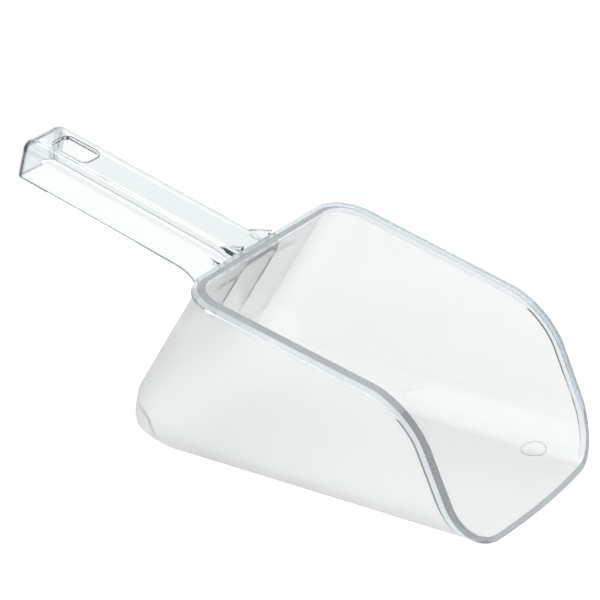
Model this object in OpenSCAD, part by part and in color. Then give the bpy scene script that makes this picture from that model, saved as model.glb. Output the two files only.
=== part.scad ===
// Clear ice scoop: a squared trough with a slanted mouth, a thick rim and a channel handle.
// The scoop stands on the flat underside of its trough, +X is the mouth, +Z is up.
// The origin is under the middle of the whole scoop, on the surface that it stands on.

/* [Bowl] */
// Width across the outside of the rim
bowl_w = 140; // [110:1:170]
// Height of the rim's top at the back of the bowl
bowl_h = 98; // [82:1:120]
// Length of the straight part of the rim, from the back to the bend
rim_len = 107; // [88:1:136]
// Fall of the rim towards the mouth, in degrees
rim_tilt = 12.6; // [8:0.1:15.2]
// Angle of the mouth's slope from the floor, in degrees
mouth_angle = 65; // [54:0.5:72]
// Radius of the bend between the rim and the mouth's slope
mouth_bend_r = 43; // [30:1:52]
// How far the middle of the lip stands ahead of its ends
lip_bulge = 5; // [2:0.5:8]
// Lean of the back wall from upright, its foot further back, in degrees
back_lean = 29.5; // [20:0.5:35]
// Inward turn of each side wall towards the mouth, in degrees
side_taper = 1.2; // [0:0.1:2]
// Thickness of the bowl's walls and floor
wall = 2.8; // [2:0.1:4]
// Outer radius between the floor and the sides
side_r = 24; // [18:1:30]
// Outer radius between the floor and the back wall
foot_r = 23; // [16:1:30]
// Outer radius of the upright corners at the back
corner_r = 17; // [12:1:24]

/* [Rim] */
// How far the rim stands out from the wall
rim_out = 2.4; // [1:0.1:4]
// Height of the rim's side face
rim_h = 4; // [3:0.1:6]

/* [Handle] */
// Length of the handle from the back of the rim to its tail
handle_len = 145; // [120:1:180]
// Width across the handle's side walls
handle_w = 32.6; // [27:0.2:39]
// Depth of the handle's channel section, crown to bottom edge
handle_d = 21.5; // [17.5:0.5:27]
// Radius of the handle's shoulders
shoulder_r = 7; // [4:0.5:9]
// Thickness of the handle's walls
handle_wall = 2.6; // [2:0.1:3.5]
// Thickness of the wall that closes the tail
tail_wall = 4; // [2.5:0.1:6]
// Rise of the handle towards its tail, in degrees
handle_tilt = 14.3; // [10:0.1:18]
// Drop of the handle's crown below the rim's top at the back
handle_drop = 6.1; // [5:0.1:9]

/* [Hanging slot] */
// Length of the slot along the handle
slot_len = 22.6; // [15:0.2:35]
// Width of the slot
slot_w = 15; // [8:0.2:18]
// Radius of the slot's corners
slot_r = 4; // [2:0.5:6]
// Distance from the tail to the slot
slot_inset = 12.2; // [8:0.2:25]

/* [Root of the handle] */
// Radius of the sweep from a handle side wall into its back rib
sweep_r = 22; // [14:1:26]
// How far a back rib stands off the back wall at its top
rib_out = 3.5; // [2:0.5:6]
// Distance from the rim's top down the back wall to the foot of a rib
rib_run = 56; // [48:1:66]
// Radius of the flares from the handle's sides to the back wall
flare_r = 18; // [10:1:24]
// Length of the gussets that climb from the handle's crown to the rim
gusset_len = 15; // [8:1:22]
// Thickness of a gusset
gusset_t = 3; // [2:0.5:4]

/* [Hidden] */
$fn = 96;

// Colours of the polished and of the frosted faces
clear_col = [0.80, 0.86, 0.88, 0.45];
frost_col = [0.90, 0.93, 0.93, 0.80];

// A length longer than the whole scoop, for cuts
big = 3 * (handle_len + rim_len);

// How far a slanted edge is sunk into the radius that it runs into, so that the two cross
sink = 0.004;

// Half width of the bowl's walls, outside and inside
half_w = bowl_w / 2 - rim_out;
half_in = half_w - wall;

// Directions in the side view, as [x, z]
function along(a) = [cos(a), -sin(a)];
function under(a) = [-sin(a), -cos(a)];

// The rim line, its bend and the mouth's slope; x = 0 is the back edge of the rim
rim_end = [0, bowl_h] + rim_len * along(rim_tilt);
bend_c = rim_end + mouth_bend_r * under(rim_tilt);
slope_top = bend_c - mouth_bend_r * under(mouth_angle);
lip_x = slope_top[0] + slope_top[1] / tan(mouth_angle);

// The back wall's outer plane passes through this point, rim_out inside the rim's back edge
back_p = [rim_out * cos(back_lean), bowl_h - rim_out * sin(back_lean)];

// Centre of the radius between the floor and the back wall
foot_c = [back_p[0] + (foot_r + (foot_r - back_p[1]) * sin(back_lean)) / cos(back_lean), foot_r];

// Distance ahead of the back wall where its pieces meet the floor and sides
back_split = foot_r * (1 + sin(back_lean)) + 0.5;

// Height where the sides and the rim end and the floor and lip begin
side_split = side_r + rim_out + 0.5;

// The lip's plan curve: a cylinder along the mouth's slope that bulges at the middle
bulge_s = lip_bulge * sin(mouth_angle);
half_lip = half_w - lip_x * tan(side_taper);
bulge_r = (half_lip * half_lip + bulge_s * bulge_s) / (2 * bulge_s);

// The handle's own frame: its bottom edge is z = 0 at the back edge of the rim
handle_z = bowl_h - handle_drop - handle_d / cos(handle_tilt);
spring_z = handle_d - shoulder_r;
grip_len = handle_len - tail_wall;

// Ends of the whole scoop, which put the origin under its middle
tail_x = -handle_len * cos(handle_tilt);
mouth_x = lip_x + lip_bulge;
mid_x = (tail_x + mouth_x) / 2;

// Where the back wall's outer plane crosses a level of the handle, along the handle
function wall_at(z) = (z * sin(back_lean - handle_tilt) + back_p[0] * cos(back_lean)
    + (handle_z - back_p[1]) * sin(back_lean)) / cos(back_lean - handle_tilt);

// Centre plane of each side wall of the handle
web_y = (handle_w - handle_wall) / 2;

// ---- helpers ----

// Extrudes a side-view shape, drawn as [x, z], to a width centred on y
module side_view(w, y = 0) {
    translate([0, y, 0])
    rotate([90, 0, 0])
    linear_extrude(height = w, center = true)
    children();
}

// Places children in the back wall's frame: x is ahead of its outer plane, z runs up its lean
module on_back() {
    translate([back_p[0], 0, back_p[1]])
    rotate([0, back_lean, 0])
    children();
}

// Places children in the handle's frame
module on_handle() {
    translate([0, 0, handle_z])
    rotate([0, handle_tilt, 0])
    children();
}

// Moves the scoop so that the origin is under its middle
module placed() {
    translate([-mid_x, 0, 0])
    children();
}

// Everything ahead of a plane parallel to the back wall
module ahead(d) {
    on_back()
    translate([d, -big / 2, -big / 2])
    cube([big, big, big]);
}

// Everything behind a plane parallel to the back wall
module behind(d) {
    on_back()
    translate([d - big, -big / 2, -big / 2])
    cube([big, big, big]);
}

// Everything above or below a level
module above(z) {
    translate([-big / 2, -big / 2, z])
    cube([big, big, big]);
}

module below(z) {
    translate([-big / 2, -big / 2, z - big])
    cube([big, big, big]);
}

// Cross-section of everything to the right of the left side wall and above the floor
module wall_section(r) {
    translate([-big, r])
    square([big, big]);
    translate([-big, 0])
    square([big - r, big]);
    translate([-r, r])
    circle(r = r);
}

// The trough: two such bars that turn inwards towards the mouth
module trough(half, r, z0) {
    intersection_for(s = [0, 1])
    mirror([0, s, 0])
    translate([0, half, z0])
    rotate([0, 0, -side_taper])
    translate([-big / 2, 0, 0])
    rotate([90, 0, 90])
    linear_extrude(height = big)
    wall_section(r);
}

// Side view of everything ahead of the back wall and above the floor, d inside both
module back_view(d) {
    r = foot_r - d;
    translate(foot_c) {
        translate([0, -r])
        square([big, big + r]);
        rotate(-back_lean)
        translate([-r, 0])
        square([big + r, big]);
        circle(r = r);
    }
}

// Upright corners at the back, rounded about the lean of the back wall
module corner_block(half, r, d) {
    on_back()
    translate([0, 0, -big / 2])
    linear_extrude(height = big) {
        translate([d + r, -half - 10])
        square([big, 2 * half + 20]);
        translate([d, -half + r])
        square([r + 1, 2 * half - 2 * r]);
        for (s = [-1, 1])
        translate([d + r, s * (half - r)])
        circle(r = r);
    }
}

// Side view of everything under the rim line and behind the mouth's slope, d inside both
module under_rim(d) {
    r = mouth_bend_r - d;
    translate(bend_c) {
        rotate(-rim_tilt)
        translate([-big, -big])
        square([big, big + r - sink]);
        rotate(-mouth_angle)
        translate([0, -big])
        square([big, big + r - sink]);
        circle(r = r);
    }
}

// Everything behind the curved front of the lip, d inside it
module behind_lip(d) {
    translate([slope_top[0], 0, slope_top[1]])
    rotate([0, mouth_angle - 90, 0])
    translate([bulge_s - bulge_r, 0, -big / 2])
    cylinder(r = bulge_r - d, h = big, $fn = 360);
}

// The bowl's outside, grown by g at the back and sides
module outside(g) {
    intersection() {
        trough(half_w + g, side_r + g, 0);
        side_view(bowl_w + 20)
        back_view(0);
        corner_block(half_w + g, corner_r + g, -g);
    }
}

// The rim's outside: it stands out from the walls all round but not under the floor
module rim_outside() {
    intersection() {
        trough(half_w + rim_out, side_r + rim_out, 0);
        corner_block(half_w + rim_out, corner_r + rim_out, -rim_out);
    }
}

// The space that holds the ice
module inside() {
    intersection() {
        trough(half_in, side_r - wall, wall);
        side_view(bowl_w + 20)
        back_view(wall);
        corner_block(half_in, corner_r - wall, wall);
    }
}

// The bowl's walls below the rim's side face
module walls() {
    difference() {
        intersection() {
            outside(0);
            side_view(bowl_w + 20)
            under_rim(rim_h);
        }
        inside();
    }
}

// The rim as one closed band, before it is divided
module rim_band() {
    difference() {
        intersection() {
            rim_outside();
            side_view(bowl_w + 20)
            under_rim(0);
        }
        side_view(bowl_w + 40)
        under_rim(rim_h);
        inside();
    }
}

// Outline of the handle's section, crown up: y across and z up
module handle_outline(d) {
    r = shoulder_r - d;
    half = handle_w / 2 - d;
    translate([-half, -1])
    square([2 * half, spring_z + 1]);
    translate([-half + r, -1])
    square([2 * half - 2 * r, spring_z + r + 1]);
    for (s = [-1, 1])
    translate([s * (half - r), spring_z])
    circle(r = r);
}

// A bar with a handle section, from x0 to x1 along the handle
module handle_bar(x0, x1) {
    translate([x0, 0, 0])
    rotate([90, 0, 90])
    linear_extrude(height = x1 - x0)
    children();
}

// Slab of the handle's frame between two levels
module handle_slab(z0, z1) {
    translate([-big / 2, -big / 2, z0])
    cube([big, big, z1 - z0]);
}

// ---- bowl ----

module bowl_floor() {
    color(frost_col)
    placed()
    intersection() {
        difference() {
            outside(0);
            inside();
        }
        ahead(back_split);
        below(side_split);
        behind_lip(rim_h);
    }
}

module bowl_back() {
    color(frost_col)
    placed()
    intersection() {
        walls();
        behind(back_split);
    }
}

module bowl_side(s) {
    color(frost_col)
    placed()
    intersection() {
        walls();
        ahead(back_split);
        above(side_split);
        translate([-big / 2, s > 0 ? 0 : -big, 0])
        cube([big, big, big]);
    }
}

module bowl_side_left() {
    bowl_side(1);
}

module bowl_side_right() {
    bowl_side(-1);
}

// ---- rim ----

module rim_back() {
    color(clear_col)
    placed()
    intersection() {
        rim_band();
        behind(back_split);
    }
}

module rim_side(s) {
    color(clear_col)
    placed()
    intersection() {
        rim_band();
        ahead(back_split);
        above(side_split);
        translate([-big / 2, s > 0 ? 0 : -big, 0])
        cube([big, big, big]);
    }
}

module rim_left() {
    rim_side(1);
}

module rim_right() {
    rim_side(-1);
}

module lip() {
    color(clear_col)
    placed()
    difference() {
        intersection() {
            rim_outside();
            ahead(back_split);
            below(side_split);
            behind_lip(0);
        }
        inside();
        behind_lip(rim_h);
    }
}

// ---- handle ----

// Strip that carries the crown up to the underside of the rim
module root_step() {
    w = handle_w - 2 * shoulder_r - 2;
    p = [0, bowl_h];
    u = along(rim_tilt);
    n = under(rim_tilt);
    side_view(w)
    polygon([
        p + 30 * u + rim_h * n,
        p - 1.5 * rim_out * u + rim_h * n,
        [-10, bowl_h - handle_drop + 10 * tan(handle_tilt) - 0.5],
        [-10, bowl_h - handle_drop - handle_wall + 10 * tan(handle_tilt)],
        [30, bowl_h - handle_drop - handle_wall - 30 * tan(handle_tilt)]
    ]);
}

module slot_hole() {
    x0 = -handle_len + slot_inset;
    translate([0, 0, spring_z])
    linear_extrude(height = 2 * shoulder_r) {
        translate([x0, -slot_w / 2 + slot_r])
        square([slot_len, slot_w - 2 * slot_r]);
        translate([x0 + slot_r, -slot_w / 2])
        square([slot_len - 2 * slot_r, slot_w]);
        for (x = [x0 + slot_r, x0 + slot_len - slot_r], s = [-1, 1])
        translate([x, s * (slot_w / 2 - slot_r)])
        circle(r = slot_r);
    }
}

module handle_top() {
    color(clear_col)
    placed()
    difference() {
        union() {
            on_handle()
            intersection() {
                handle_bar(-grip_len, 40)
                difference() {
                    handle_outline(0);
                    handle_outline(handle_wall);
                }
                handle_slab(spring_z, 2 * handle_d);
            }
            root_step();
        }
        ahead(0);
        on_handle()
        slot_hole();
    }
}

module handle_side(s) {
    color(clear_col)
    placed()
    difference() {
        on_handle()
        translate([-grip_len, s * web_y - handle_wall / 2, 0])
        cube([grip_len + 40, handle_wall, spring_z]);
        ahead(0);
    }
}

module handle_side_left() {
    handle_side(1);
}

module handle_side_right() {
    handle_side(-1);
}

module handle_end() {
    color(clear_col)
    placed()
    on_handle()
    intersection() {
        handle_bar(-handle_len, -grip_len)
        handle_outline(0);
        handle_slab(0, 2 * handle_d);
    }
}

// ---- root of the handle ----

// Side view of a rib: it closes on the back wall at its foot and sweeps into the handle at its top
module rib_view() {
    up = [sin(back_lean), cos(back_lean)];
    out = [-cos(back_lean), sin(back_lean)];
    grip = -along(handle_tilt);
    slope = tan(handle_tilt);
    foot = back_p - rib_run * up;
    // where the handle's bottom edge meets the back wall
    root_t = (back_p[1] - handle_z + back_p[0] * slope) / (up[1] + up[0] * slope);
    root = back_p - root_t * up;
    // the rib's edge, and where it crosses the handle's bottom edge
    edge_top = root + rib_out * out;
    edge = (edge_top - foot) / norm(edge_top - foot);
    cross_t = (handle_z - edge_top[1] - edge_top[0] * slope) / (edge[1] + edge[0] * slope);
    corner = edge_top + cross_t * edge;
    // the sweep is a circle tangent to both edges
    half_turn = acos(-edge * grip) / 2;
    run = sweep_r / tan(half_turn);
    t1 = corner + run * grip;
    t2 = corner - run * edge;
    bisector = (grip - edge) / norm(grip - edge);
    difference() {
        polygon([foot, t2, t1, root - 10 * grip]);
        translate(corner + sweep_r / sin(half_turn) * bisector)
        circle(r = sweep_r);
    }
}

module back_rib(s) {
    color(clear_col)
    placed()
    difference() {
        side_view(handle_wall, s * web_y)
        rib_view();
        ahead(0);
    }
}

module back_rib_left() {
    back_rib(1);
}

module back_rib_right() {
    back_rib(-1);
}

// Flat fillet between a handle side wall and the back wall
module root_flare(s) {
    color(clear_col)
    placed()
    difference() {
        on_handle()
        mirror([0, s > 0 ? 0 : 1, 0])
        translate([wall_at(spring_z) - flare_r, handle_w / 2, spring_z - handle_wall])
        linear_extrude(height = handle_wall)
        difference() {
            square([flare_r + 20, flare_r]);
            translate([0, flare_r])
            circle(r = flare_r);
        }
        ahead(0);
    }
}

module root_flare_left() {
    root_flare(1);
}

module root_flare_right() {
    root_flare(-1);
}

// Triangle that stands on a shoulder and climbs to the rim
module root_gusset(s) {
    y = handle_w / 2 - shoulder_r + gusset_t;
    u = along(rim_tilt);
    n = under(rim_tilt);
    p = [0, bowl_h] + 0.8 * n;
    color(clear_col)
    placed()
    difference() {
        side_view(gusset_t, s * y)
        polygon([
            p + 30 * u,
            p,
            [-gusset_len, bowl_h - handle_drop + gusset_len * tan(handle_tilt)],
            [-gusset_len, handle_z + spring_z],
            [30, handle_z + spring_z]
        ]);
        on_handle()
        handle_bar(-grip_len, 60)
        handle_outline(0);
        rim_zone();
        ahead(0);
    }
}

module root_gusset_left() {
    root_gusset(1);
}

module root_gusset_right() {
    root_gusset(-1);
}

// The space that the rim fills at the back
module rim_zone() {
    intersection() {
        side_view(bowl_w)
        difference() {
            square([2 * big, 2 * big], center = true);
            under_rim(rim_h);
        }
        ahead(-rim_out);
    }
}

bowl_floor();
bowl_back();
bowl_side_left();
bowl_side_right();
rim_back();
rim_left();
rim_right();
lip();
handle_top();
handle_side_left();
handle_side_right();
handle_end();
back_rib_left();
back_rib_right();
root_flare_left();
root_flare_right();
root_gusset_left();
root_gusset_right();
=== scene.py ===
# %% [markdown]
# # A clear ice scoop
# The real object is one moulding of clear polycarbonate: a squared trough with a slanted
# mouth, a thick polished rim, and a hollow channel handle that is swept into the back wall.
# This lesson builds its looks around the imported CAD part. The CAD part is loaded as a fixed
# frame in metres, and nothing in it is moved.

# %% Load the frame
import bpy
import bmesh
from math import cos, radians, sin, tan
from mathutils import Matrix, Vector


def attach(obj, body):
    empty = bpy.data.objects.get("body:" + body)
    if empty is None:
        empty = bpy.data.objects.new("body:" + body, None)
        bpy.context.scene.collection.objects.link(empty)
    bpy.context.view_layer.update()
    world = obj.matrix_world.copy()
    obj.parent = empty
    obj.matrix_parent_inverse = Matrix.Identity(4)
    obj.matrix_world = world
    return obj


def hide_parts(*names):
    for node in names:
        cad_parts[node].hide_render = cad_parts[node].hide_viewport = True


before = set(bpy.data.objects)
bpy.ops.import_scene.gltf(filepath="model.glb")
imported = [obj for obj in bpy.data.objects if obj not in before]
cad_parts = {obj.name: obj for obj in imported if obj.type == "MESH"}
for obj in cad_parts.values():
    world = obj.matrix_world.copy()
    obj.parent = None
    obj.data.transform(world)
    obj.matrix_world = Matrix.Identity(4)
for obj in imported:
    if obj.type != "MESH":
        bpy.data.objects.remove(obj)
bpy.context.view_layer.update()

# %% [markdown]
# ## Camera
# The view is a long lens held above the near side of the handle, looking towards the mouth.
# A camera can be placed by an aim constraint or by its own axes. The axes are set here, from
# an azimuth, an elevation and a small roll, because that keeps the horizon exactly as wanted.

# %% Camera
AZ, EL, ROLL = radians(32.957), radians(24.896), radians(0.5225)
PIXELS, FOCAL_PX = 600, 2816.0
right = Vector((cos(AZ), sin(AZ), 0))
down = Vector((sin(AZ) * sin(EL), -cos(AZ) * sin(EL), -cos(EL)))
ahead = Vector((-sin(AZ) * cos(EL), cos(AZ) * cos(EL), -sin(EL)))
across = cos(ROLL) * right - sin(ROLL) * down
below = sin(ROLL) * right + cos(ROLL) * down
seen = Vector((-19.934, 59.369, 1418.146)) * 0.001
place = -(across * seen.x + below * seen.y + ahead * seen.z)

MM = 0.001
HALF_TRAVEL = 11.113 * MM
view = bpy.data.cameras.new("camera")
view.sensor_width = 36.0
view.lens = FOCAL_PX / PIXELS * view.sensor_width
view.clip_end = 30.0
camera = bpy.data.objects.new("camera", view)
turn = Matrix((across, -below, -ahead)).transposed().to_4x4()
camera.matrix_world = Matrix.Translation(place - Vector((HALF_TRAVEL, 0, 0))) @ turn
bpy.context.scene.collection.objects.link(camera)
bpy.context.scene.camera = camera
print("lens", round(view.lens, 1), "mm, camera at", [round(c, 3) for c in camera.location])

# %% [markdown]
# ## Sizes
# Blender repeats the CAD's driving sizes in millimetres, because the visual surfaces lie on
# the CAD's, apart from the bowl's bottom back corners and the tail, which are rounder here.
# Shapes are made in millimetres with x = 0 at the back edge of the rim, and one transform at
# the end turns them into metres about the part's own origin.

# %% Sizes in millimetres
BOWL_W, BOWL_H, RIM_LEN, BEND_R, BULGE = 140.0, 98.0, 107.0, 43.0, 5.0
RIM_TILT, MOUTH, LEAN, TAPER = radians(12.6), radians(65.0), radians(29.5), radians(1.2)
WALL, SIDE_R, FOOT_R, CORNER_R = 2.8, 24.0, 23.0, 17.0
RIM_OUT, RIM_H = 2.4, 4.0
HANDLE_LEN, HANDLE_W, HANDLE_D, SHOULDER_R = 145.0, 32.6, 21.5, 7.0
HANDLE_WALL, TAIL_WALL, HANDLE_TILT, HANDLE_DROP = 2.6, 4.0, radians(14.3), 6.1
SLOT_LEN, SLOT_W, SLOT_R, SLOT_INSET = 22.6, 15.0, 4.0, 12.2
SWEEP_R, RIB_OUT, RIB_RUN, FLARE_R, GUSSET_LEN, GUSSET_T = 22.0, 3.5, 56.0, 18.0, 15.0, 3.0
HALF_W = BOWL_W / 2 - RIM_OUT


def along(angle):
    return Vector((cos(angle), 0, -sin(angle)))


def under(angle):
    return Vector((-sin(angle), 0, -cos(angle)))


BACK_TOP = Vector((RIM_OUT * cos(LEAN), 0, BOWL_H - RIM_OUT * sin(LEAN)))
BEND_C = Vector((0, 0, BOWL_H)) + RIM_LEN * along(RIM_TILT) + BEND_R * under(RIM_TILT)
SLOPE_TOP = BEND_C - BEND_R * under(MOUTH)
LIP_X = SLOPE_TOP.x + SLOPE_TOP.z / tan(MOUTH)
HALF_LIP = HALF_W - LIP_X * tan(TAPER)
HANDLE_Z = BOWL_H - HANDLE_DROP - HANDLE_D / cos(HANDLE_TILT)
print("lip at", round(LIP_X, 2), "mm, half width there", round(HALF_LIP, 2), "mm")

# %% [markdown]
# ## Small tools
# Each solid starts as a bmesh cube or a flat face, is shaped by operators, and meets the
# next one in an exact Boolean, which is how the cavity and core of the real mould meet too.

# %% Tools that make and join solids


def to_object(name, bm):
    bmesh.ops.recalc_face_normals(bm, faces=bm.faces)
    mesh = bpy.data.meshes.new(name)
    bm.to_mesh(mesh)
    bm.free()
    thing = bpy.data.objects.new(name, mesh)
    bpy.context.scene.collection.objects.link(thing)
    return thing


def evaluated(thing):
    graph = bpy.context.evaluated_depsgraph_get()
    made = bpy.data.meshes.new_from_object(thing.evaluated_get(graph))
    thing.modifiers.clear()
    thing.data = made
    return thing


def join(base, other, how):
    step = base.modifiers.new(how.lower(), "BOOLEAN")
    step.operation, step.object, step.solver = how, other, "EXACT"
    step.material_mode = "TRANSFER"
    evaluated(base)
    bpy.data.objects.remove(other)
    return base


def block(corners):
    """A cube whose eight corners go where corners(x, y, z) says, each of them -1 or 1."""
    bm = bmesh.new()
    bmesh.ops.create_cube(bm, size=2.0)
    for v in bm.verts:
        v.co = corners(round(v.co.x), round(v.co.y), round(v.co.z))
    return bm


def plate(points, thickness, direction, arc=None):
    """A flat face through points, given a thickness.

    arc is (i, centre, axis): an arc from point i to the next.
    """
    bm = bmesh.new()
    verts = [bm.verts.new(p) for p in points]
    for i, v in enumerate(verts):
        after = verts[(i + 1) % len(verts)]
        if arc and i == arc[0]:
            a, b = v.co - arc[1], after.co - arc[1]
            turn = a.angle(b) if arc[2].cross(a).dot(b) > 0 else -a.angle(b)
            bmesh.ops.spin(bm, geom=[v], cent=arc[1], axis=arc[2], angle=turn, steps=14)
        else:
            bm.edges.new((v, after))
    bmesh.ops.remove_doubles(bm, verts=bm.verts, dist=0.005)
    face = bmesh.ops.contextual_create(bm, geom=bm.edges[:])["faces"][0]
    grown = bmesh.ops.extrude_face_region(bm, geom=[face])
    moved = [g for g in grown["geom"] if isinstance(g, bmesh.types.BMVert)]
    bmesh.ops.translate(bm, verts=moved, vec=Vector(direction) * thickness)
    return bm


# %% [markdown]
# ## Materials
# Every surface is the same clear polycarbonate. What differs is the tool that moulded it:
# polished steel gives the rim and the handle their gloss, and a spark-eroded, matte steel
# gives the outside of the bowl its frost. The rim, the tail and the edge radii get copies
# whose colours also hold painted light and shade. One function turns sRGB hex into linear
# colour, and one small function adds a node with its settings and its links.

# %% Material tools


IOR = 1.585


def linear(hex_colour):
    parts = [int(hex_colour[i : i + 2], 16) / 255 for i in (1, 3, 5)]
    return [p / 12.92 if p <= 0.04045 else ((p + 0.055) / 1.055) ** 2.4 for p in parts] + [1.0]


def add(tree, kind, settings=None, links=None):
    made = tree.nodes.new(kind)
    for key, value in (settings or {}).items():
        if isinstance(key, str) and hasattr(made, key):
            setattr(made, key, value)
        else:
            made.inputs[key].default_value = value
    for socket, source in (links or {}).items():
        tree.links.new(source, made.inputs[socket])
    return made


def start(name):
    made = bpy.data.materials.new(name)
    made.use_nodes = True
    made.node_tree.nodes.clear()
    return made, made.node_tree


# %% [markdown]
# ### Polished polycarbonate
# Moulded against polished steel: clear, glossy, with an index of 1.585. Long, low waves from
# the flow of the melt bend the highlights a little, and faint handling haze varies the gloss.
# The rim is thick and is seen along its depth, where such plastic turns a faint blue-grey.
# Its colour is also given a diffuse share, which is painted light: it lifts the rim to the
# pale grey that light passing through the real rim gives. The small radii of the edges bend
# in light from dark corners of a room, and their darker grey is painted shade for that. The
# rounded tail is the thickest part of the handle, and its grey is painted shade too. These
# greys stand in for light that the real plastic loses on its way.

# %% Polished polycarbonate
# Repeats in a metre: waves of flow about 17 mm long, handling wear about 4 mm wide.
FLOW, WEAR = 60.0, 260.0


def polished(name, colour, haze, flow_depth, clear=1.0):
    made, tree = start(name)
    where = add(tree, "ShaderNodeTexCoord")
    flow = add(
        tree, "ShaderNodeTexNoise", {"Scale": FLOW, "Detail": 0.0},
        {"Vector": where.outputs["Object"]},
    )
    wear = add(
        tree, "ShaderNodeTexNoise", {"Scale": WEAR, "Detail": 4.0},
        {"Vector": where.outputs["Object"]},
    )
    gloss = add(
        tree, "ShaderNodeMapRange",
        {"From Min": 0.2, "From Max": 0.8, "To Min": haze, "To Max": haze + 0.03},
        {"Value": wear.outputs["Fac"]},
    )
    waves = add(
        tree, "ShaderNodeBump", {"Strength": 1.0, "Distance": flow_depth},
        {"Height": flow.outputs["Fac"]},
    )
    skin = add(
        tree, "ShaderNodeBsdfPrincipled",
        {"Base Color": linear(colour), "IOR": IOR, "Transmission Weight": clear},
        {"Roughness": gloss.outputs["Result"], "Normal": waves.outputs["Normal"]},
    )
    add(tree, "ShaderNodeOutputMaterial", None, {"Surface": skin.outputs["BSDF"]})
    return made


gloss_pc = polished("polycarbonate_moulded_polished", "#EBEFEF", 0.015, 0.00012)
# Rim: a faint blue-grey tint of thick plastic, plus a diffuse share of painted light that lifts it
rim_tint_and_painted_light_pc = polished("polycarbonate_polished_rim_tint_and_painted_light", "#DCE5EA", 0.02, 0.00002, 0.78)
# Tail: its grey is painted shade, for light that the thick rounded end bends away
tail_shade_pc = polished("polycarbonate_polished_tail_painted_shade", "#BCC6CB", 0.02, 0.00002, 0.85)
# Edge radii: their darker grey is painted shade, for the dark surroundings that small radii bend in
edge_shade_pc = polished("polycarbonate_edge_radius_painted_shade", "#6E7A82", 0.03, 0.00002, 0.6)

# %% [markdown]
# ### Satin core side
# The hollow of the bowl is moulded by the core, which is only satin polished. An ejector pin
# or gate leaves a round witness mark, 12 mm across, on the floor near the far end of the lip.
# It is a thin ring round an upright axis, so it follows the floor where that begins to rise.

# %% Satin polycarbonate with its witness ring
inner_pc, tree = start("polycarbonate_moulded_satin_core")
WITNESS, WITNESS_R = Vector((0.1220, 0.0425, 0.0)), 0.0062
where = add(tree, "ShaderNodeTexCoord")
offset = add(
    tree, "ShaderNodeVectorMath", {"operation": "SUBTRACT", 1: WITNESS},
    {0: where.outputs["Object"]},
)
flat = add(
    tree, "ShaderNodeVectorMath", {"operation": "MULTIPLY", 1: (1, 1, 0)},
    {0: offset.outputs["Vector"]},
)
span = add(tree, "ShaderNodeVectorMath", {"operation": "LENGTH"}, {0: flat.outputs["Vector"]})
gap = add(
    tree, "ShaderNodeMath", {"operation": "SUBTRACT", 1: WITNESS_R}, {0: span.outputs["Value"]}
)
away = add(tree, "ShaderNodeMath", {"operation": "ABSOLUTE"}, {0: gap.outputs["Value"]})
ring = add(
    tree, "ShaderNodeMapRange", {"From Min": 0.0, "From Max": 0.0006, "To Min": 1.0, "To Max": 0.0},
    {"Value": away.outputs["Value"]},
)
tint = add(tree, "ShaderNodeMix", {"data_type": "RGBA"}, {"Factor": ring.outputs["Result"]})
tint.inputs[6].default_value, tint.inputs[7].default_value = linear("#FCFEFE"), linear("#A9B4B6")
SATIN_WEAR = 150.0  # repeats in a metre, so about 7 mm wide
wear = add(
    tree, "ShaderNodeTexNoise", {"Scale": SATIN_WEAR, "Detail": 3.0},
    {"Vector": where.outputs["Object"]},
)
gloss = add(
    tree, "ShaderNodeMapRange", {"From Min": 0.2, "From Max": 0.8, "To Min": 0.03, "To Max": 0.055},
    {"Value": wear.outputs["Fac"]},
)
lift = add(
    tree, "ShaderNodeBump", {"Strength": 0.6, "Distance": 0.0003},
    {"Height": ring.outputs["Result"]},
)
skin = add(
    tree, "ShaderNodeBsdfPrincipled", {"IOR": IOR, "Transmission Weight": 1.0},
    {
        "Base Color": tint.outputs[2], "Roughness": gloss.outputs["Result"],
        "Normal": lift.outputs["Normal"],
    },
)
add(tree, "ShaderNodeOutputMaterial", None, {"Surface": skin.outputs["BSDF"]})

# %% [markdown]
# ### Frosted polycarbonate
# Moulded against spark-eroded steel, whose pits are about 0.05 mm. Such a grain is too fine
# to show, so it is drawn at about 0.9 mm. It scatters what is behind it into a pale grey.

# %% Frosted polycarbonate
frost_pc, tree = start("polycarbonate_moulded_frosted")
where = add(tree, "ShaderNodeTexCoord")
GRAIN, CLOUD = 1100.0, 40.0  # repeats in a metre, so about 0.9 mm and 25 mm
grain = add(
    tree, "ShaderNodeTexNoise", {"Scale": GRAIN, "Detail": 2.0},
    {"Vector": where.outputs["Object"]},
)
cloud = add(
    tree, "ShaderNodeTexNoise", {"Scale": CLOUD, "Detail": 3.0},
    {"Vector": where.outputs["Object"]},
)
matte = add(
    tree, "ShaderNodeMapRange",
    {"From Min": 0.3, "From Max": 0.7, "To Min": 0.31, "To Max": 0.37},
    {"Value": cloud.outputs["Fac"]},
)
pits = add(
    tree, "ShaderNodeBump", {"Strength": 0.1, "Distance": 0.0002},
    {"Height": grain.outputs["Fac"]},
)
skin = add(
    tree, "ShaderNodeBsdfPrincipled",
    {"Base Color": linear("#FDFFFE"), "IOR": IOR, "Transmission Weight": 0.8},
    {"Roughness": matte.outputs["Result"], "Normal": pits.outputs["Normal"]},
)
add(tree, "ShaderNodeOutputMaterial", None, {"Surface": skin.outputs["BSDF"]})
print("materials", [m.name for m in bpy.data.materials if m.name.startswith("poly")])

# %% [markdown]
# ## The bowl's blocks
# The bowl is a leaning, tapering box with soft bottom edges. A box whose edges are bevelled
# by weight gives each edge its own radius and a smooth ball where three of them meet, which
# lofting or spinning wouldn't. The same block in three sizes makes the walls, the rim and
# the hollow.

# %% Blocks with rounded edges


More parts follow.
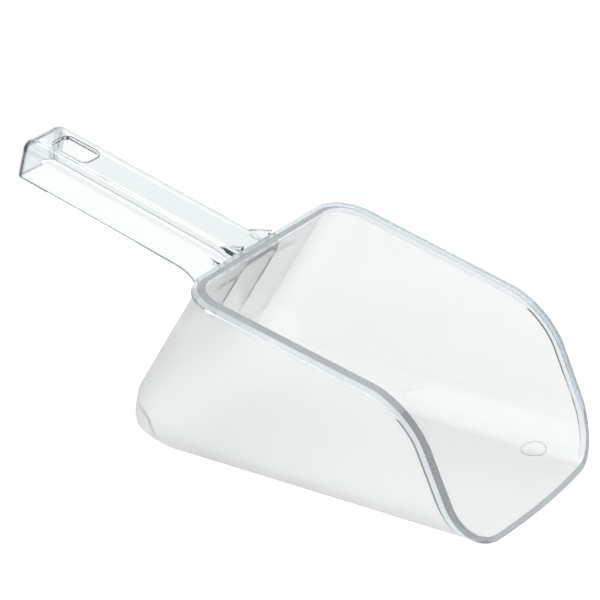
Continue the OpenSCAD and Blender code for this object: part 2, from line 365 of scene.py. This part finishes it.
def bowl_block(name, grow, floor, top, front, radii, material, segments=14):
    side_r, foot_r, corner_r = radii

    def corners(x, y, z):
        height = top if z > 0 else floor
        back = BACK_TOP.x + (-grow + (height - BACK_TOP.z) * sin(LEAN)) / cos(LEAN)
        at = front if x > 0 else back
        return Vector((at, y * (HALF_W + grow - at * tan(TAPER)), height))

    bm = block(corners)
    weight = bm.edges.layers.float.new("bevel_weight_edge")
    foot_run = foot_r * tan((radians(90) + LEAN) / 2)
    for e in bm.edges:
        a, b = e.verts[0].co, e.verts[1].co
        low = max(a.z, b.z) < floor + 0.001
        back_side = min(abs(a.x - front), abs(b.x - front)) > 1.0
        if low and abs(a.y - b.y) < 10.0:
            e[weight] = 1.0
        elif low and back_side:
            e[weight] = foot_run / side_r
        elif back_side and abs(a.z - b.z) > 10.0:
            e[weight] = corner_r / side_r
    thing = to_object(name, bm)
    round_off = thing.modifiers.new("edges", "BEVEL")
    round_off.limit_method, round_off.width = "WEIGHT", side_r
    round_off.offset_type, round_off.segments, round_off.profile = "OFFSET", segments, 0.5
    thing.data.materials.append(material)
    return evaluated(thing)


# %% [markdown]
# ## The cut of the mouth
# Seen from the side, the rim falls gently from the back, bends, and drops to the lip as a
# slope that bulges forward in its middle. One wedge with a bevelled edge has that outline.
# Cuts across it let its front follow the bulge.

# %% Wedge under the rim line
CUT_STEP = 3.0


def under_rim(name, inset, material):
    radius = BEND_R - inset
    run = radius * tan((MOUTH - RIM_TILT) / 2)
    corner = BEND_C - radius * under(RIM_TILT) + run * along(RIM_TILT)
    back, foot = corner - 260 * along(RIM_TILT), corner + 150 * along(MOUTH)

    def corners(x, y, z):
        at = (
            (corner if x > 0 else back) if z > 0
            else Vector((foot.x if x > 0 else back.x, 0, foot.z))
        )
        return Vector((at.x, y * 100.0, at.z))

    bm = block(corners)
    bend = [
        e for e in bm.edges
        if all((v.co - Vector((corner.x, v.co.y, corner.z))).length < 0.01 for v in e.verts)
    ]
    bmesh.ops.bevel(
        bm, geom=bend, offset=run, offset_type="OFFSET", segments=22, profile=0.5,
        affect="EDGES", material=-1,
    )
    for i in range(-23, 24):
        bmesh.ops.bisect_plane(
            bm, geom=bm.verts[:] + bm.edges[:] + bm.faces[:],
            plane_co=(0, i * CUT_STEP, 0), plane_no=(0, 1, 0),
        )
    out = -under(MOUTH)
    for v in bm.verts:
        if (v.co - SLOPE_TOP).dot(out) > -inset - 0.01 and abs(v.co.y) < HALF_LIP:
            v.co += out * BULGE * sin(MOUTH) * (1 - (v.co.y / HALF_LIP) ** 2)
    thing = to_object(name, bm)
    thing.data.materials.append(material)
    return thing


# %% Bowl: walls, rim, hollow and mouth
bowl = bowl_block("bowl", 0.0, 0.0, 119.0, 189.0, (SIDE_R, FOOT_R, CORNER_R), frost_pc)
rim = bowl_block(
    "rim", RIM_OUT, 0.04, 120.0, 190.0, (SIDE_R + RIM_OUT, FOOT_R, CORNER_R + RIM_OUT), rim_tint_and_painted_light_pc
)
join(rim, under_rim("below_rim", RIM_H, rim_tint_and_painted_light_pc), "DIFFERENCE")
join(bowl, rim, "UNION")
hollow = bowl_block(
    "hollow", -WALL, WALL, 130.0, 200.0, (SIDE_R - WALL, FOOT_R - WALL, CORNER_R - WALL), inner_pc
)
join(bowl, hollow, "DIFFERENCE")
join(bowl, under_rim("mouth", 0.0, rim_tint_and_painted_light_pc), "INTERSECT")
print("bowl", len(bowl.data.polygons), "faces, slots", [m.name for m in bowl.data.materials])

# %% [markdown]
# ## The handle
# The handle is an upside-down channel, open underneath and closed at its tail, and its two
# side walls sweep down into ribs on the back wall. One side-view face with a concave rounded
# corner, given its width, is the outside of all of it. A second block is the hollow.

# %% Places along the handle
grip, slope = -along(HANDLE_TILT), tan(HANDLE_TILT)
up_wall = Vector((sin(LEAN), 0, cos(LEAN)))
off_wall = Vector((-cos(LEAN), 0, sin(LEAN)))
rib_foot = BACK_TOP - RIB_RUN * up_wall
root = BACK_TOP - up_wall * (
    (BACK_TOP.z - HANDLE_Z + BACK_TOP.x * slope) / (up_wall.z + up_wall.x * slope)
)
edge_top = root + RIB_OUT * off_wall
edge = (edge_top - rib_foot).normalized()
corner = edge_top + edge * (
    (HANDLE_Z - edge_top.z - edge_top.x * slope) / (edge.z + edge.x * slope)
)
half_turn = (-edge).angle(grip) / 2
sweep_run = SWEEP_R / tan(half_turn)
sweep_c = corner + SWEEP_R / sin(half_turn) * (grip - edge).normalized()
to_handle = Matrix.Translation((0, 0, HANDLE_Z)) @ Matrix.Rotation(HANDLE_TILT, 4, "Y")
EMBED, TAIL_R = 0.6, 6.0
print("rib foot", [round(c, 1) for c in rib_foot], "corner", [round(c, 1) for c in corner])

# %% Channel


def in_handle(x, z, y=0.0):
    return to_handle @ Vector((x, y, z))


def round_long_edges(bm, level, radius, segments):
    high = [
        e for e in bm.edges
        if all((to_handle.inverted() @ v.co).z > level for v in e.verts)
        and abs(e.verts[0].co.y - e.verts[1].co.y) < 0.1 and e.calc_length() > 30
    ]
    bmesh.ops.bevel(
        bm, geom=high, offset=radius, offset_type="OFFSET", segments=segments, profile=0.5,
        affect="EDGES", material=-1,
    )
    return bm


half = HANDLE_W / 2
tail_low, tail_high = in_handle(-HANDLE_LEN, 0.0, -half), in_handle(-HANDLE_LEN, HANDLE_D, -half)
crown_in = in_handle(30.0, HANDLE_D, -half)
shift = Vector((0, -half, 0))
outline = [
    tail_low, corner + sweep_run * grip + shift, corner - sweep_run * edge + shift,
    rib_foot + shift, rib_foot + shift + 30 * along(0), crown_in, tail_high,
]
bm = plate(outline, HANDLE_W, (0, 1, 0), (1, sweep_c + shift, Vector((0, 1, 0))))
round_long_edges(bm, HANDLE_D - 0.01, SHOULDER_R, 12)
tail = [
    e for e in bm.edges
    if all((to_handle.inverted() @ v.co).x < -HANDLE_LEN + 0.01 for v in e.verts)
    and any((to_handle.inverted() @ v.co).z > 0.1 for v in e.verts)
]
rounded = bmesh.ops.bevel(
    bm, geom=tail, offset=TAIL_R, offset_type="OFFSET", segments=6, profile=0.5,
    affect="EDGES", material=-1,
)
# The tail's rounded faces take the second slot, whose grey is painted shade
for face in rounded["faces"]:
    face.material_index = 1
handle = to_object("handle", bm)
handle.data.materials.append(gloss_pc)
handle.data.materials.append(tail_shade_pc)


def core(x, y, z):
    at = -HANDLE_LEN + TAIL_WALL if x < 0 else 90.0
    return in_handle(at, HANDLE_D - HANDLE_WALL if z > 0 else -80.0, y * (half - HANDLE_WALL))


inside = round_long_edges(block(core), HANDLE_D - HANDLE_WALL - 0.01, SHOULDER_R - HANDLE_WALL, 8)
hollow = to_object("core", inside)
join(handle, hollow, "DIFFERENCE")
print("handle", len(handle.data.polygons), "faces")

# %% [markdown]
# ### Hanging slot
# A rounded slot goes through the crown near the tail. It is cut with a block whose four
# upright edges are bevelled.

# %% Hanging slot


def slot_corner(x, y, z):
    at = -HANDLE_LEN + SLOT_INSET + (SLOT_LEN if x > 0 else 0.0)
    return in_handle(at, 30.0 if z > 0 else 14.6, y * SLOT_W / 2)


bm = block(slot_corner)
from_handle = to_handle.inverted()
upright = [
    e for e in bm.edges
    if abs((from_handle @ e.verts[0].co).z - (from_handle @ e.verts[1].co).z) > 5
]
bmesh.ops.bevel(
    bm, geom=upright, offset=SLOT_R, offset_type="OFFSET", segments=7, profile=0.5,
    affect="EDGES", material=-1,
)
join(handle, to_object("slot", bm), "DIFFERENCE")

# %% [markdown]
# ### Root of the handle
# Where the handle meets the bowl, a step carries the crown up to the rim, two thin gussets
# stand on the shoulders, and two flat flares widen the side walls towards the back wall.
# Each is a plate cut from its own outline, and they all become one skin with the handle.

# %% Step, gussets and flares
rim_back = Vector((0, 0, BOWL_H))
crown = BOWL_H - HANDLE_DROP
step_w = HANDLE_W - 2 * SHOULDER_R - 2
step_side = Vector((0, -step_w / 2, 0))
points = [
    rim_back + 8 * along(RIM_TILT) + RIM_H * under(RIM_TILT),
    rim_back - 1.5 * RIM_OUT * along(RIM_TILT) + RIM_H * under(RIM_TILT),
    Vector((-10, 0, crown + 10 * slope - 0.3)),
    Vector((-10, 0, crown + 10 * slope - 1.6)),
    Vector((8, 0, crown - 8 * slope - 1.6)),
]
join(handle, to_object("step", plate([p + step_side for p in points], step_w, (0, 1, 0))), "UNION")

for side in (-1, 1):
    y = side * (half - SHOULDER_R + GUSSET_T) - GUSSET_T / 2
    points = [
        rim_back + 6 * along(RIM_TILT) + RIM_H * under(RIM_TILT),
        rim_back - 1.02 * RIM_OUT * along(RIM_TILT) + RIM_H * under(RIM_TILT),
        rim_back - 1.02 * RIM_OUT * along(RIM_TILT) + 0.8 * under(RIM_TILT),
        Vector((-GUSSET_LEN, 0, crown + GUSSET_LEN * slope - 0.4)),
        in_handle(-GUSSET_LEN, HANDLE_D - 1.9),
        in_handle(6.0, HANDLE_D - 1.9),
    ]
    points = [p + Vector((0, y, 0)) for p in points]
    join(handle, to_object("gusset", plate(points, GUSSET_T, (0, 1, 0))), "UNION")

spring = HANDLE_D - SHOULDER_R
wall_x = (
    (
        spring * sin(LEAN - HANDLE_TILT) + BACK_TOP.x * cos(LEAN)
        + (HANDLE_Z - BACK_TOP.z) * sin(LEAN)
    )
    / cos(LEAN - HANDLE_TILT)
)
for side in (-1, 1):
    low = spring - HANDLE_WALL
    far = wall_x - FLARE_R - 1.0
    points = [
        in_handle(far, low, side * (half - 1.0)), in_handle(far, low, side * half),
        in_handle(wall_x - FLARE_R, low, side * half),
        in_handle(wall_x, low, side * (half + FLARE_R)),
        in_handle(wall_x + 3, low, side * (half + FLARE_R)),
        in_handle(wall_x + 3, low, side * (half - 1.0)),
    ]
    normal = to_handle.to_3x3() @ Vector((0, 0, 1))
    centre = in_handle(wall_x - FLARE_R, low, side * (half + FLARE_R))
    join(
        handle, to_object("flare", plate(points, HANDLE_WALL, normal, (2, centre, normal))),
        "UNION",
    )
print("handle with its root", len(handle.data.polygons), "faces")

# %% [markdown]
# ## Finishing
# The handle is trimmed just inside the back wall, so that no light gap shows. Both pieces
# are then turned into metres about the part's origin. The handle's free edges get the small
# radius that a mould leaves, as far as SOFT_END: past it, short edges meet where the root
# joins the wall, and a radius there would fold over itself. The rim's edges stay sharp for
# the same reason. Normals are weighted by area so that flats stay flat.

# %% Finish the two pieces
SOFT_R, SOFT_END = 0.3, -0.032
SHARP, BEVELLED, FLAT = radians(28), radians(40), radians(0.5)


def finish(thing, trim):
    bm = bmesh.new()
    bm.from_mesh(thing.data)
    if trim:
        cut = bmesh.ops.bisect_plane(
            bm, geom=bm.verts[:] + bm.edges[:] + bm.faces[:], dist=0.0001,
            plane_co=BACK_TOP - EMBED * off_wall, plane_no=-off_wall, clear_outer=True,
        )
        rims = [g for g in cut["geom_cut"] if isinstance(g, bmesh.types.BMEdge)]
        bmesh.ops.contextual_create(bm, geom=rims)
    bmesh.ops.remove_doubles(bm, verts=bm.verts, dist=0.01)
    bmesh.ops.dissolve_degenerate(bm, edges=bm.edges, dist=0.01)
    bmesh.ops.dissolve_limit(
        bm, angle_limit=FLAT, verts=bm.verts, edges=bm.edges, delimit={"MATERIAL"}
    )
    into_metres = Matrix.Translation((-HALF_TRAVEL, 0, 0)) @ Matrix.Scale(MM, 4)
    bmesh.ops.transform(bm, matrix=into_metres, verts=bm.verts)
    for face in bm.faces:
        face.smooth = True
    for e in bm.edges:
        e.smooth = len(e.link_faces) == 2 and e.calc_face_angle() < SHARP
    if trim:
        # The radius faces take a last slot, whose darker grey is painted shade
        thing.data.materials.append(edge_shade_pc)
        weight = bm.edges.layers.float.new("bevel_weight_edge")
        for e in bm.edges:
            clear_of_root = max(v.co.x for v in e.verts) < SOFT_END
            e[weight] = float(clear_of_root and e.calc_face_angle() > BEVELLED)
    open_edges = sum(len(e.link_faces) != 2 for e in bm.edges)
    print(thing.name, "open edges", open_edges, "volume cm3", round(bm.calc_volume() * 1e6, 1))
    bm.to_mesh(thing.data)
    bm.free()
    if trim:
        soften = thing.modifiers.new("moulded_edges", "BEVEL")
        soften.width, soften.segments, soften.limit_method = SOFT_R * MM, 2, "WEIGHT"
        soften.material, soften.use_clamp_overlap = len(thing.data.materials) - 1, False
    weigh = thing.modifiers.new("flat_faces", "WEIGHTED_NORMAL")
    weigh.keep_sharp = True
    return thing


finish(bowl, False)
finish(handle, True)

# %% Ride and replace
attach(bowl, "root")
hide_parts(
    "bowl_floor", "bowl_back", "bowl_side_left", "bowl_side_right",
    "rim_back", "rim_left", "rim_right", "lip",
)
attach(handle, "root")
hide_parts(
    "handle_top", "handle_side_left", "handle_side_right", "handle_end",
    "back_rib_left", "back_rib_right", "root_flare_left", "root_flare_right",
    "root_gusset_left", "root_gusset_right",
)

# %% [markdown]
# ## Floor and light
# A pale floor, a soft sky that is darker near the horizon, and two soft boxes. The floor gives
# off light of its own, like a sweep lit from below, so that no shadow shows. Clear plastic
# shows only what it bends and reflects, so the darker horizon and two black cards draw its
# edges. The cards are hidden from the camera, because they would block the side views; they
# still show in reflections and through the plastic.

# %% Floor
bm = bmesh.new()
bmesh.ops.create_grid(bm, x_segments=8, y_segments=8, size=4.0)
bmesh.ops.translate(bm, verts=bm.verts, vec=(0, 0, -0.0003))
floor = to_object("floor", bm)
paper, tree = start("paper_backdrop_painted_glow")
where = add(tree, "ShaderNodeTexCoord")
PULP = 30.0  # repeats in a metre, so clouds about 33 mm wide
fibre = add(
    tree, "ShaderNodeTexNoise", {"Scale": PULP, "Detail": 3.0},
    {"Vector": where.outputs["Object"]},
)
span = add(tree, "ShaderNodeVectorMath", {"operation": "LENGTH"}, {0: where.outputs["Object"]})
# Painted glow: the floor gives off light at 0.90 out to 1.2 m from the origin, fading to 0.62 by
# 2.4 m
lit = add(
    tree, "ShaderNodeMapRange", {"From Min": 1.2, "From Max": 2.4, "To Min": 0.90, "To Max": 0.62},
    {"Value": span.outputs["Value"]},
)
tone = add(
    tree, "ShaderNodeMapRange", {"From Min": 0.3, "From Max": 0.7, "To Min": 0.16, "To Max": 0.18},
    {"Value": fibre.outputs["Fac"]},
)
skin = add(
    tree, "ShaderNodeBsdfPrincipled",
    {"Roughness": 0.9, "Emission Color": linear("#FFFFFF")},
    {"Base Color": tone.outputs["Result"], "Emission Strength": lit.outputs["Result"]},
)
add(tree, "ShaderNodeOutputMaterial", None, {"Surface": skin.outputs["BSDF"]})
floor.data.materials.append(paper)

# %% Sky and soft boxes
world = bpy.data.worlds.new("studio")
bpy.context.scene.world = world
world.use_nodes = True
tree = world.node_tree
tree.nodes.clear()
where = add(tree, "ShaderNodeTexCoord")
split = add(tree, "ShaderNodeSeparateXYZ", None, {"Vector": where.outputs["Generated"]})
fade = add(tree, "ShaderNodeValToRGB", None, {"Fac": split.outputs["Z"]})
stops = fade.color_ramp
stops.elements[0].position, stops.elements[0].color = 0.0, (0.55, 0.56, 0.57, 1)
stops.elements[1].position, stops.elements[1].color = 0.25, (1.0, 1.0, 1.0, 1)
glow = add(tree, "ShaderNodeBackground", {"Strength": 1.2}, {"Color": fade.outputs["Color"]})
add(tree, "ShaderNodeOutputWorld", None, {"Surface": glow.outputs["Background"]})


def soft_box(name, spot, target, size, power):
    lamp = bpy.data.lights.new(name, "AREA")
    lamp.shape, lamp.size, lamp.energy = "DISK", size, power
    thing = bpy.data.objects.new(name, lamp)
    aim = (Vector(target) - Vector(spot)).to_track_quat("-Z", "Y").to_matrix().to_4x4()
    thing.matrix_world = Matrix.Translation(spot) @ aim
    bpy.context.scene.collection.objects.link(thing)


CARD = 0.32


def dark_card(name, sideways, length):
    bm = bmesh.new()
    bmesh.ops.create_grid(bm, x_segments=2, y_segments=2, size=0.5)
    bmesh.ops.scale(bm, verts=bm.verts, vec=(length, CARD, 1.0))
    stand = Matrix.Rotation(AZ + radians(90), 4, "Z") @ Matrix.Rotation(radians(90), 4, "X")
    bmesh.ops.transform(bm, matrix=stand, verts=bm.verts)
    bmesh.ops.translate(bm, verts=bm.verts, vec=right * sideways + Vector((0, 0, CARD / 2 + 0.02)))
    card = to_object(name, bm)
    card.data.materials.append(flock)
    card.visible_camera = False


flock, tree = start("black_card_matte")
where = add(tree, "ShaderNodeTexCoord")
NAP = 400.0  # repeats in a metre, so 2.5 mm
fibre = add(
    tree, "ShaderNodeTexNoise", {"Scale": NAP},
    {"Vector": where.outputs["Object"]},
)
tone = add(
    tree, "ShaderNodeMapRange", {"To Min": 0.015, "To Max": 0.03}, {"Value": fibre.outputs["Fac"]}
)
skin = add(
    tree, "ShaderNodeBsdfPrincipled", {"Roughness": 0.9}, {"Base Color": tone.outputs["Result"]}
)
add(tree, "ShaderNodeOutputMaterial", None, {"Surface": skin.outputs["BSDF"]})
dark_card("card_left", -0.55, 0.9)
dark_card("card_right", 0.42, 0.9)
soft_box("key", (-0.7, 0.9, 1.5), (0, 0, 0.05), 0.9, 4.0)
soft_box("fill", (0.9, -0.9, 1.2), (0, 0, 0.05), 0.8, 3.0)
bpy.context.scene.view_settings.view_transform = "Standard"
bpy.context.scene.view_settings.look = "None"

# %% Finish
bpy.context.view_layer.update()
